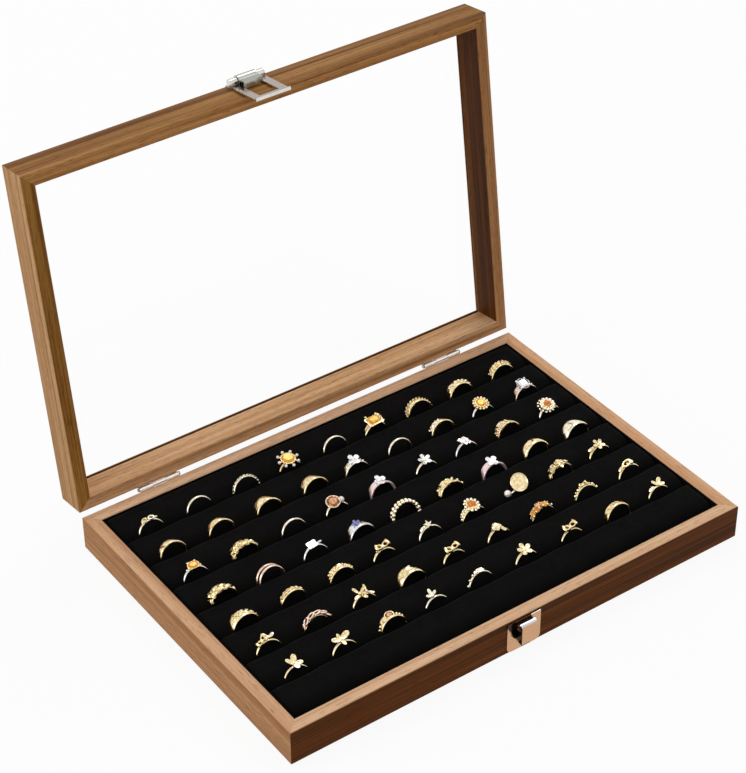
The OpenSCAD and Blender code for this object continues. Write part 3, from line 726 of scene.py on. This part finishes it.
# sizes in mm; a main head is one that is tipped to the front, and it is drawn larger
ringLook = {"bore": 8.7, "wall": 1.2, "headSeat": 1.4, "steps": 56, "lean": 20.0, "mainHead": 1.25,
            "mainTilt": 25, "sink": 1.4, "headSink": 0.7, "carvedSteps": 16}
bands = {   # width, thickness, taper to the foot, corner round, and every how many steps it is carved
    "thin": (1.6, 1.2, 0.15, 0), "hoop": (2.1, 1.3, 0.2, 0), "medium": (4.4, 1.5, 0.4, 0.5),
    "wide": (6.0, 1.6, 0.6, 0.6), "dome": (6.2, 2.4, 0.7, 0), "shank": (4.2, 1.5, 1.0, 0.5),
    "horn": (7.0, 2.2, 1.1, 0), "carved": (6.0, 1.5, 0.6, 0.4, 1), "barred": (5.4, 1.5, 0.5, 0.4, 2),
    "studded": (4.2, 1.4, 0.5, 0.35, 1), "wire": (0.8, 0.7, 0, 0)}


def makeBand(width, thick, taper, corner, carve=None):
    # the section stands beside the finger hole and is spun round it; a taper makes the top the widest
    bore, steps = ringLook["bore"], ringLook["steps"]
    middle = (bore + thick / 2, 0, 0)
    if corner:
        beginShape(bpy.ops.mesh.primitive_plane_add, size=1, location=middle)
        resizePicked((thick, width, 1), middle)
        bpy.ops.mesh.bevel(offset=corner, segments=3, affect="VERTICES")
        pickFaces(lambda at, normal: True)
        bpy.ops.mesh.delete(type="ONLY_FACE")
    else:
        beginShape(bpy.ops.mesh.primitive_circle_add, vertices=14, radius=0.5, location=middle)
        resizePicked((thick, width, 1), middle)
    bpy.ops.mesh.select_mode(type="VERT")
    bpy.ops.mesh.select_all(action="SELECT")
    bpy.ops.mesh.spin(steps=steps, angle=2 * math.pi, center=(0, 0, 0), axis=(0, 1, 0))
    bpy.ops.mesh.select_all(action="SELECT")
    bpy.ops.mesh.remove_doubles(threshold=0.001)
    bpy.ops.mesh.normals_make_consistent(inside=False)

    def carved(at, normal):
        step = round(math.degrees(math.atan2(at.x, at.z)) / (360 / steps) - 0.5)
        onTop = math.hypot(at.x, at.z) > bore + 0.85 * thick and abs(step) < ringLook["carvedSteps"]
        return onTop and (step // carve) % 2

    if carve:
        pickFaces(carved)
        bpy.ops.mesh.inset(thickness=0.18, depth=0.22, use_individual=(carve == 1))
    narrowed = {"deform_method": "TAPER", "deform_axis": "Z", "factor": taper, "lock_x": True}
    return endShape("band", *([("SIMPLE_DEFORM", narrowed)] if taper else []), smooth=50)


bench = {"bead": makeBead(), "petal": makePetal(), "gem": makeGem(10), "square": makeGem(4, 0.2),
         "bezel": makeBezel(), "basket": makeBasket(), "disc": makeDisc(), "loop": makeLoop(0.7, 0.6, 0.2),
         "link": makeLoop(0.75, 1, 0.15), "cushion": makeCushion(), "nugget": makeNugget(),
         "star": makeStar(5), "seat": makeSeat()}
for style, sizes in bands.items():
    bench[style] = makeBand(*sizes)
print("ring shapes ready:", len(bench))


def head(angle=0.0, lift=0.0, across=0.0, tilt=0.0, turn=0.0):
    # a place on the band: angle round it from the top, then lifted, tipped to the front and turned
    out = ringLook["bore"] + ringLook["headSeat"] + lift
    return (Matrix.Rotation(math.radians(angle), 4, "Y") @ Matrix.Translation((0, across, out))
            @ Matrix.Rotation(math.radians(tilt), 4, "X") @ Matrix.Rotation(math.radians(turn), 4, "Z")
            @ Matrix.Scale(ringLook["mainHead"] if tilt >= ringLook["mainTilt"] else 1, 4))


def part(shape, finish, place, size=1.0, shift=(0, 0, 0), turn=0.0, pitch=0.0):
    scale = Matrix.Diagonal((*(size if isinstance(size, tuple) else (size,) * 3), 1))
    return shape, finish, (place @ Matrix.Translation(shift) @ Matrix.Rotation(math.radians(turn), 4, "Z")
                           @ Matrix.Rotation(math.radians(pitch), 4, "Y") @ scale)


def seat(metal, place, wide, tall):
    return part("seat", metal, place, (wide, wide, tall))


def crossed(band, metal, angle):
    return [part(band, metal, Matrix.Rotation(math.radians(a), 4, "X")) for a in (-angle, angle)]


def fan(metal, place, pitch, *petals):
    return [part("petal", metal, place, size, turn=turn, pitch=pitch) for turn, size in petals]


def roundOf(shape, finish, place, count, reach, size, start=0.0, rise=0.0, pitch=0.0):
    made = []
    for k in range(count):
        a = start + 360 * k / count
        at = (reach * math.cos(math.radians(a)), reach * math.sin(math.radians(a)), rise)
        made.append(part(shape, finish, place, size, at, a, pitch))
    return made


def along(shape, finish, first, last, count, size, turn=0.0, across=0.0, lift=0.0, zigzag=0.0):
    # a row on the band, from one angle to another; a zigzag steps it to and fro across the band
    made = []
    for k in range(count):
        side = 1 if k % 2 else -1
        place = head(first + (last - first) * k / max(1, count - 1), lift, across + zigzag * side)
        made.append(part(shape, finish, place, size, turn=turn * (side if zigzag else 1)))
    return made


def shoulders(shape, finish, start, count, size, step=13):
    last = start + step * (count - 1)
    return along(shape, finish, start, last, count, size) + along(shape, finish, -start, -last, count, size)


def stone(shape, gem, metal, place, radius, claws=4, stretch=1.0, bezel=False):
    size = (radius, radius * stretch, radius)
    made = [part(shape, gem, place, size), part("bezel" if bezel else "basket", metal, place, size),
            part("seat", metal, place, (radius * 0.6, radius * 0.6, 1.4), (0, 0, -0.7 * radius))]
    return made + roundOf("bead", metal, place, claws, radius * 1.02, 0.34 * radius ** 0.5, 45, 0.1 * radius)


def scattered(stones, metal, *spots):
    # small stones, their colours in turn, each at an angle, across the band and with its radius
    return [one for k, (angle, across, radius) in enumerate(spots)
            for one in stone("gem", stones[k % len(stones)], metal, head(angle, 0.3, across, 28), radius)]


def flower(metal, place, petals, reach, middle, centre, radius, wide=1.0):
    size = (reach, reach * wide, reach * 0.9)
    return (roundOf("petal", metal, place, petals, 0.25 * reach, size, 90, 0, -12)
            + [seat(metal, place, 1.1, 1.6), part(middle, centre, place, radius, (0, 0, 0.35))])


def bow(metal, place, reach):
    size = (reach * 0.85, reach * 1.35, reach * 1.1)
    return ([part("loop", metal, place, size, turn=turn, pitch=-10) for turn in (12, 168)]
            + [part("nugget", metal, place, 0.27 * reach), seat(metal, place, 0.9, 1.4)])


# each ring: how far it has slipped along its row in mm, its band and metal, and what is set on it
ringRows = [[   # row 1, at the back of the box
    (-0.5, "hoop", "pale", [
        part("link", "gold", head(-30, 0.3, 0, 28), (3.4, 3.2, 3.4)),
        part("link", "pale", head(8, 0.4, 0, 28), (3.8, 3.4, 3.4), (-1.6, 0, 0)),
        part("bead", "brown", head(-12, 0.2, 0), 1.1),
        part("nugget", "gold", head(-20, 0, 0, 28), (1.3, 1.1, 1.0)),
        part("petal", "gold", head(18, 0, 0, 28), (3.0, 2.4, 2.4), turn=20)]),
    (0, "hoop", "pale", []),
    (0.5, "thin", "pale", along("petal", "pale", -104, 96, 15, (2.2, 2.2, 3.0))),
    (0, "hoop", "gold",
        [part("gem", "amber", head(0, 1.2, -0.6, 26, 12), 3.9),
         part("bezel", "gold", head(0, 1.0, -0.6, 26), 3.6)]
        + roundOf("bead", "pearl", head(0, 1.0, -0.6, 26), 8, 5.6, 0.9)
        + roundOf("petal", "gold", head(0, 0.9, -0.6, 26), 8, 3.0, (2.8, 1.5, 1.4))
        + [seat("gold", head(0, 0.4, 0, 24), 1.6, 2.2)]),
    (0.2, "hoop", "pale", []),
    (-1.7, "thin", "gold", crossed("hoop", "gold", 11)
        + [part("cushion", "gold", head(4, 0.2, 0, 32, 8), (5.4, 3.9, 2.4)),
           part("square", "amber", head(4, 1.0, 0, 32, 8), (5.6, 3.9, 2.6))]
        + roundOf("bead", "gold", head(4, 1.0, 0, 32, 8), 4, 4.8, 0.8, 40)),
    (-1.3, "medium", "gold", along("petal", "gold", -84, 76, 13, (4.4, 3.6, 6.0), 62, -1.4)),
    (-1.8, "wide", "gold", along("nugget", "gold", -52, 48, 7, (2.0, 2.2, 1.3), 20, 0, 0, 1.5)
        + along("nugget", "pale", -42, 38, 6, (1.1, 1.1, 1.2), 0, 0, 0.7)),
    (-0.7, "medium", "gold", along("petal", "gold", -66, 30, 8, (6.5, 4.8, 5.5), 24, -1.6, 0.2)
        + along("bead", "gold", -60, 40, 8, 0.8, 0, 1.8, 0.4)),
], [   # row 2
    (-1.6, "medium", "gold", []),
    (-0.8, "medium", "gold", []),
    (-0.3, "wide", "gold", []),
    (0.5, "wide", "gold", along("petal", "gold", -58, -26, 3, (3.4, 3.0, 2.4), 55, -1.0)),
    (-1.5, "shank", "pale", flower("white", head(0, 0.8, 0, 30, 20), 4, 3.0, "gem", "white", 2.0, 2.0)
        + shoulders("bead", "silver", 27, 2, 0.9)),
    (-1.6, "hoop", "pale", []),
    (-1.8, "medium", "gold", along("gem", "white", -56, -10, 4, 1.1, 0, 0, 0.2)
        + along("bead", "gold", -62, -4, 5, 0.7, 0, 1.5)),
    (-2.4, "hoop", "silver", stone("gem", "amber", "gold", head(0, 0.72, 0, 32), 2.9, 6, 1, True)
        + roundOf("bead", "gold", head(0, 0.54, 0, 32), 14, 4.1, 0.85)),
    (-1.2, "shank", "rose", stone("square", "white", "silver", head(0, 0.84, 0, 30), 3.8)
        + shoulders("bead", "silver", 27, 2, 0.9)),
], [   # row 3
    (-1.1, "hoop", "silver", stone("gem", "amber", "gold", head(0, 0.54, 0, 31), 2.9, 4, 0.72, True)
        + shoulders("bead", "pale", 20, 2, 0.8, 9)),
    (-0.3, "carved", "gold", along("star", "gold", -60, 60, 7, (1.9, 1.9, 3.0), 0, 0, 0.1)),
    (1.5, "hoop", "pale", []),
    (0.1, "hoop", "pale", stone("gem", "brown", "rose", head(-10, 0.78, -0.3, 32), 3.4, 6, 1, True)
        + [part("bead", "pearl", head(26, 0.66, 0.4, 30), 1.8),
           seat("pale", head(26, 0.6, 0.3), 1.1, 1.4)]),
    (-0.5, "shank", "pink", flower("white", head(2, 0.3, 0, 28, 10), 4, 2.8, "bead", "white", 1.9, 2.0)),
    (1.0, "hoop", "pale", flower("silver", head(0, 0.66, 0, 32), 5, 3.1, "bead", "pale", 1.2, 1.5)),
    (-1.7, "hoop", "silver",
        [part("cushion", "silver", head(-8 + 15 * k, 0.2, 0, 28, 22), (1.1, 3.6, 1.5)) for k in (0, 1)]
        + [part("cushion", "rose", head(0, 0, 0, 28, 22), (2.8, 1.0, 1.2))]
        + along("gem", "pink", -12, 14, 3, 1.1, 0, -1.2, 0.4)),
    (-2.8, "barred", "gold", along("bead", "rose", -70, -14, 7, 0.9, 0, -1.3, 0.1)),
    (-1.9, "hoop", "pale", stone("gem", "orange", "pale", head(0, 0.8, 0, 34), 2.4, 6, 1, True)
        + roundOf("bead", "pale", head(0, 0.5, 0, 34), 12, 3.6, 1.1)
        + roundOf("bead", "pale", head(-6, 0.2, 0, 34), 14, 4.6, 0.7)),
], [   # row 4
    (1.2, "carved", "gold", along("nugget", "gold", -66, 56, 9, (1.8, 1.9, 1.2), 0, 0, 0, 1.3)),
    (-0.2, "hoop", "rose", [part("hoop", "rose", Matrix.Translation((0, -3.8, 0)))]),
    (-0.2, "hoop", "silver",
        [part("square", gem, head(-6, 0.4, 0, 32), 1.4, (x, y, 0)) for gem, x, y in (
            ("pink", -1.3, -1.2), ("white", -1.3, 1.2), ("white", 1.3, -1.2), ("pink", 1.3, 1.2))]
        + [part("cushion", "silver", head(-6, 0.1, 0, 32), (2.8, 2.6, 1.3)),
           part("petal", "silver", head(16, 0, 0, 30), (3.6, 2.4, 2.4), turn=24)]),
    (-0.8, "wide", "silver", flower("violet", head(-10, 0.5, 0, 34), 5, 2.1, "bead", "violet", 0.9, 1.5)
        + along("cushion", "pale", 14, 62, 4, (1.5, 2.0, 1.0))),
    (-1.6, "thin", "gold", along("bead", "pale", -110.6, 105.4, 15, 1.4, 0, -1.3, 0.3)
        + along("bead", "pale", -105.4, 110.6, 15, 1.4, 0, 1.3, 0.3)),
    (-0.3, "barred", "gold", along("bead", "gold", -70, 60, 11, 1.0, 0, 0, 0.2, 1.5)),
    (-0.4, "shank", "pink", flower("white", head(2, 0.4, 0, 28, 30), 4, 3.0, "gem", "white", 1.9, 2.0)),
    (-0.7, "dome", "gold", []),
    (-1.9, "horn", "pale", []),
], [   # row 5
    (-0.8, "horn", "gold", along("nugget", "gold", -34, 34, 7, (1.3, 2.0, 1.2), 0, -0.4, 0.1, 1.1)
        + along("bead", "gold", -52, 52, 9, 0.8, 0, -2.4, 0.1)
        + along("petal", "pale", -24, 18, 4, (2.8, 2.6, 2.4), 80, -0.6, 0.6)),
    (0, "thin", "gold",
        crossed("thin", "gold", 12) + along("link", "gold", -48, 40, 6, (3.2, 3.2, 2.4), 90, -1.6)),
    (0.4, "shank", "gold", along("bead", "gold", -58, 50, 11, 0.9, 0, -1.6, 0.2)
        + along("bead", "gold", -50, 42, 9, 0.8, 0, 1.2, 0.2)
        + [part("nugget", "gold", head(2, -0.5, 0, 28), (2.3, 2.0, 1.4)),
           part("gem", "pale", head(2, 0.5, 0, 28), 1.2)]),
    (-1.5, "hoop", "gold",
        bow("gold", head(0, 0.54, 0, 32, 6), 5.0) + [part("bead", "gold", head(-26, 0, 0, 28), 1.0)]),
    (-1.3, "hoop", "pale", [
        part("star", "pale", head(0, 0.6, 0, 35), (2.8, 2.8, 3.2)),
        part("petal", "pale", head(-14, 0.48, 0, 34), (4.0, 3.4, 3.2), turn=190),
        seat("pale", head(0, 0.6, 0, 20), 1.0, 1.4)]),
    (-2.7, "shank", "gold", stone("gem", "orange", "gold", head(4, 0.66, 0, 32), 2.7, 6, 1, True)
        + roundOf("bead", "pale", head(4, 0.48, 0, 32), 12, 3.9, 0.9)
        + along("bead", "pale", -66, -22, 5, 1.0, 0, -0.9)
        + along("bead", "pale", -60, -26, 4, 1.0, 0, 0.9)),
    (-2.5, "hoop", "pale", [
        part("disc", "gold", head(-16, 1.6, -0.8, 62), 5.0, (6.4, 0.4, 0)),
        seat("pale", head(18, 0.48, 0, 20), 1.2, 1.6),
        part("bead", "pearl", head(-32, 1.4, -0.6, 20), 2.5),
        seat("pale", head(-32, 0.8), 1.2, 1.8)]),
    (-1.4, "studded", "gold", along("link", "gold", -30, 30, 4, (4.0, 4.0, 2.6), 90, -2.2, 0.9)
        + [part("gem", "gold", head(0, 0.66, 0, 34), 1.8),
           part("petal", "gold", head(0, 0.7, 0, 34), (4.4, 4.0, 3.6), turn=-90)]),
    (-3.0, "hoop", "gold", flower("gold", head(2, 0.2, 0, 34, 20), 5, 2.9, "nugget", "gold", 1.0, 1.4)
        + [part("petal", "gold", head(-20, 0.2, 0, 30), (4.0, 3.6, 3.4), turn=170)]),
], [   # row 6
    (-0.8, "hoop", "gold", bow("gold", head(-16, 0.5, 0, 30, 24), 4.2)
        + [part("nugget", "gold", head(0, 0.5, 0, 30), (1.5, 1.3, 1.2))]
        + [part("petal", "pale", head(14, 0.6, 0, 30), (4.0, 3.6, 3.4), turn=t) for t in (40, 150)]),
    (-0.7, "wire", "gold", along("link", "rose", -80, 40, 6, (5.6, 5.4, 4.6), 0, 0, 0.4)),
    (-1.0, "hoop", "gold", flower("gold", head(-10, 0.54, 0, 35, 20), 4, 3.8, "bead", "gold", 1.1, 0.9)
        + flower("gold", head(16, 0.54, 0, 31), 3, 3.4, "nugget", "rose", 0.9, 0.9)),
    (-1.3, "horn", "gold", [
        part("nugget", "gold", head(0, -0.8, 0, 28), (3.9, 2.6, 1.9)),
        part("petal", "pale", head(-20, 0, -0.4, 28), (4.4, 3.4, 3.0), turn=12),
        part("petal", "gold", head(18, 0, 0.4, 28), (3.6, 3.0, 3.0), turn=170)]),
    (-2.6, "hoop", "gold", bow("gold", head(0, 0.48, 0, 31, 8), 5.2)),
    (-2.8, "hoop", "gold", [
        part("nugget", "gold", head(0, 0.54, 0, 30), (3.4, 3.0, 2.2)),
        part("nugget", "pale", head(-14, 0.54, 0, 30), 1.6),
        part("petal", "gold", head(10, 0.7, 0, 36), (4.4, 4.0, 3.6), turn=-60)]),
    (-2.1, "hoop", "gold",
        scattered(("amber", "orange", "brown"), "gold", (-46, 0.2, 1.5), (-28, -0.9, 1.8),
                  (-10, 0.8, 1.8), (8, -0.7, 1.8), (24, 0.5, 1.4), (-60, -0.8, 1.1))
        + along("bead", "pale", -50, 30, 5, 0.8, 0, 1.8, 0.4)
        + along("bead", "gold", -56, 36, 6, 0.8, 0, -2.2, 0.4)),
    (-1.8, "hoop", "gold", along("bead", "gold", -84, 60, 7, 1.15, 0, 0, 0.1)
        + along("bead", "gold", -72, 48, 6, 0.75, 0, 0.5, 0.1)
        + bow("gold", head(-6, 0.48, 0, 36), 2.8)),
    (-0.6, "hoop", "gold", [
        part("link", "gold", head(-8, 0.54, 0, 31, 12), (6.4, 4.6, 4.8), (-2.6, 0, 0)),
        part("bead", "pale", head(16, 0.54, 0, 30), 1.4),
        part("petal", "gold", head(-20, 0.54, 0, 34), (4.2, 3.4, 3.4), turn=186),
        seat("gold", head(0, 0.5, 0, 20), 1.2, 1.4)]),
], [   # row 7
    (0.9, "thin", "gold",
        fan("gold", head(0, 0.66, 0, 34), -10, (62, (5.2, 6.0, 4.2)), (128, (4.6, 4.8, 3.8)),
            (-18, (4.8, 5.0, 4.0)))
        + fan("pale", head(0, 0.66, 0, 34), -10, (-74, (3.8, 4.6, 3.4)))
        + [part("nugget", "gold", head(0, 0.78, 0, 38), 1.1),
           seat("gold", head(0, 0.6, 0, 24), 1.1, 1.6)]),
    (0.3, "hoop", "gold",
        fan("gold", head(-4, 0.66, 0, 36), -8, (18, (6.0, 6.4, 4.2)), (160, (5.0, 5.4, 4.0)),
            (92, (3.6, 3.6, 3.4)), (-84, (4.0, 3.6, 3.6)))
        + [part("star", "pale", head(-4, 0.84, 0, 36), (1.8, 1.8, 2.4)),
           seat("gold", head(-4, 0.6, 0, 24), 1.2, 1.6)]),
    (0.3, "shank", "gold", [
        part("bezel", "gold", head(-4, 0.3, 0, 28), (2.3, 1.8, 1.6)),
        part("gem", "brown", head(-4, 0.3, 0, 28), (2.2, 1.7, 1.1))]
        + along("bead", "gold", 26, 52, 3, 0.9) + along("bead", "gold", -32, -70, 4, 0.85)),
    (-1.4, "thin", "pale",
        fan("pale", head(-10, 0.6, 0, 40), -12, (86, (4.2, 3.6, 3.2)), (24, (3.4, 3.2, 3.0)),
            (154, (3.4, 3.2, 3.0)))
        + [part("bead", "pale", head(-10, 0.72, 0, 40), 1.2),
           seat("pale", head(-10, 0.6, 0, 24), 1.1, 1.6)]),
    (-2.9, "thin", "pale", along("bead", "pale", -92, -30, 4, 0.9, 0, 0, 0.1)
        + [part("cushion", "pale", head(4, 0.1, 0, 28), (1.8, 1.5, 1.0)),
           part("gem", "rose", head(-14, 0.3, 0, 28), 1.1),
           part("gem", "pale", head(18, 0.2, 0, 28), 0.9)]),
    (-2.0, "hoop", "gold", flower("gold", head(0, 0.5, 0, 29), 5, 3.4, "bead", "pale", 1.2, 1.5)),
    (-0.5, "thin", "gold", bow("gold", head(0, 0.6, 0, 33, 8), 5.2)),
    (1.2, "medium", "gold", along("cushion", "gold", -66, 40, 7, (1.3, 1.9, 0.9), 18)),
    (1.3, "thin", "gold",
        fan("gold", head(0, 0.54, 0, 35), -10, (40, (4.6, 4.6, 3.6)), (128, (3.6, 3.8, 3.4)),
            (-20, (4.2, 3.8, 3.4)))
        + [part("nugget", "gold", head(0, 0.6, 0, 35), 1.0),
           part("petal", "pale", head(-16, 0.54, 0, 31), (4.0, 3.2, 3.0), turn=188),
           seat("gold", head(0, 0.6, 0, 24), 1.0, 1.6)]),
]]


def fingerRing(row, column, slip, band, metal, trim):
    pieces = []
    for shape, finish, place in [(band, metal, Matrix.Identity(4))] + trim:
        made = bench[shape].copy()
        made.data = bench[shape].data.copy()
        made.data.materials.clear()
        made.data.materials.append(finishes[finish])
        made.data.transform(place)
        bpy.context.scene.collection.objects.link(made)
        pieces.append(made)
    bpy.ops.object.select_all(action="DESELECT")
    for made in pieces:
        made.select_set(True)
    ring = pieces[0]
    bpy.context.view_layer.objects.active = ring
    if len(pieces) > 1:
        bpy.ops.object.join()
    ring.name = ring.data.name = "fingerRing_%d_%d" % (row, column)

    # it stands in the gap between two rolls and leans back; a heavy head pulls it deeper
    rise = max(point.co.z for point in ring.data.vertices) - ringLook["bore"] - ringLook["headSeat"]
    deeper = ringLook["sink"] + ringLook["headSink"] * max(0, rise)
    behind, before = boxOf("ring_roll_%d" % row), boxOf("ring_roll_%d" % (row + 1))
    foot = Vector((columnPlace(column) + slip, (behind[0].y + before[1].y) / 2,
                   behind[1].z - ringGrid["depth"] - deeper))
    ring.data.transform(Matrix.Scale(mm, 4) @ Matrix.Translation(foot)
                        @ Matrix.Rotation(math.radians(-ringLook["lean"]), 4, "X")
                        @ Matrix.Translation((0, 0, ringLook["bore"] + ringLook["wall"])))
    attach(ring, "root")
    if column == 1:
        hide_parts("rings_row_%d" % row)


for row, rings in enumerate(ringRows, 1):
    for column, design in enumerate(rings, 1):
        fingerRing(row, column, *design)
    print("ring row", row, "set")
for made in bench.values():
    bpy.data.objects.remove(made)

sizes = {"cad": [list(map(float, p)) for p in cadBox], "scene": [list(map(float, p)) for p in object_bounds()]}
